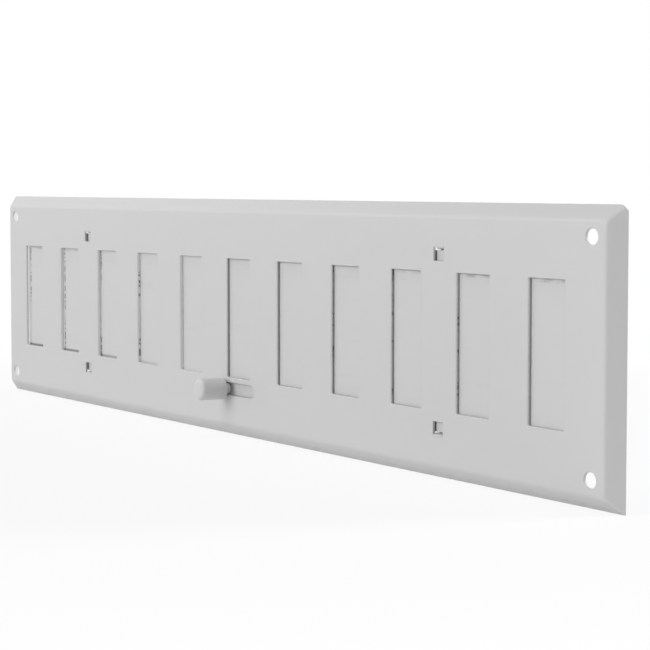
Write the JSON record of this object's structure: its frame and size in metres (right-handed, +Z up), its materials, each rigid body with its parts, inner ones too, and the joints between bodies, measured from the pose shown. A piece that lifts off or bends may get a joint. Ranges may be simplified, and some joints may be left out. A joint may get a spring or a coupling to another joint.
{
  "type": "adjustable wall vent grille",
  "caption": "Long shallow pressed sheet-metal vent cover with upright slots, and a slotted shutter behind it that a knob slides open and shut.",
  "frame": {"origin": "middle of the cover's front face, which is also the centre of the four fixing holes, in the plane that the screw heads bear on", "axes": "+X along the length, to the right for someone facing the grille; +Y into the wall; +Z up. The front faces -Y."},
  "size_m": [0.5, 0.0193, 0.1],
  "materials": {
    "cover_paint": "satin light grey enamel",
    "shutter_paint": "satin light grey enamel",
    "knob_paint": "satin light grey enamel",
    "washer_steel": "zinc plated",
    "screw_steel": "zinc plated"
  },
  "bodies": {
    "cover": {"face_plate": "cover_paint"},
    "shutter": {"shutter_plate": "shutter_paint", "knob": "knob_paint", "knob_washer": "washer_steel", "knob_screw": "screw_steel"}
  },
  "joints": [
    {"name": "shutter_slide", "type": "slide", "parent": "cover", "child": "shutter", "axis": [1, 0, 0], "range_m": [0, 0.0204]}
  ]
}
